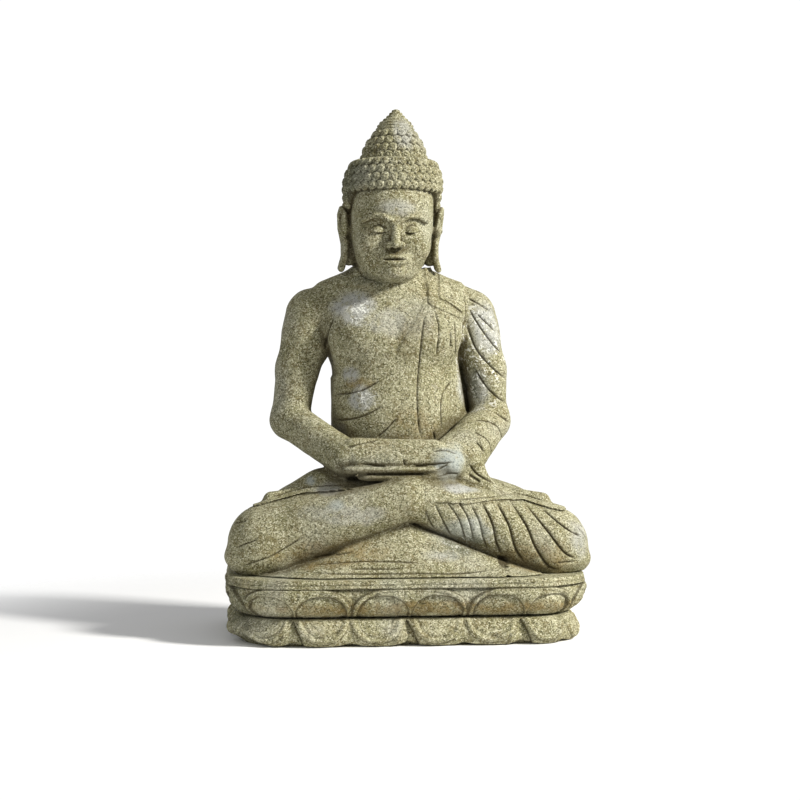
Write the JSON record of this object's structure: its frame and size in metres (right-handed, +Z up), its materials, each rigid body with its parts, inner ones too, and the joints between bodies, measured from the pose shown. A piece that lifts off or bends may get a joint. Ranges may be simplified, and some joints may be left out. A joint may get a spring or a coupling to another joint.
{
  "type": "seated buddha statue",
  "caption": "Seated stone Buddha, hands in the lap, on a lotus plinth: carved stones set on mortar beds and pinned with steel dowels, the neck in a socket.",
  "frame": {"origin": "centre of the lotus plinth's underside, on the ground", "axes": "+Z up, the figure faces -Y, and +X is on the side of its left hand"},
  "size_m": [0.6677, 0.462, 1],
  "materials": {
    "green_stone": "speckled olive-green volcanic stone, hand chiselled, weathered and matt",
    "lime_mortar": "pale sandy lime mortar, rough and matt",
    "stainless_steel": "plain round stainless steel bar, sawn ends"
  },
  "bodies": {
    "root": {"lower_lotus_tier": "green_stone", "upper_lotus_tier": "green_stone", "seated_body": "green_stone", "head": "green_stone", "topknot": "green_stone", "plinth_mortar_bed": "lime_mortar", "seat_mortar_bed": "lime_mortar", "neck_mortar_bed": "lime_mortar", "topknot_mortar_bed": "lime_mortar", "plinth_dowel_1": "stainless_steel", "plinth_dowel_2": "stainless_steel", "plinth_dowel_3": "stainless_steel", "plinth_dowel_4": "stainless_steel", "seat_dowel_1": "stainless_steel", "seat_dowel_2": "stainless_steel", "seat_dowel_3": "stainless_steel", "neck_dowel": "stainless_steel", "topknot_dowel": "stainless_steel"}
  },
  "joints": []
}
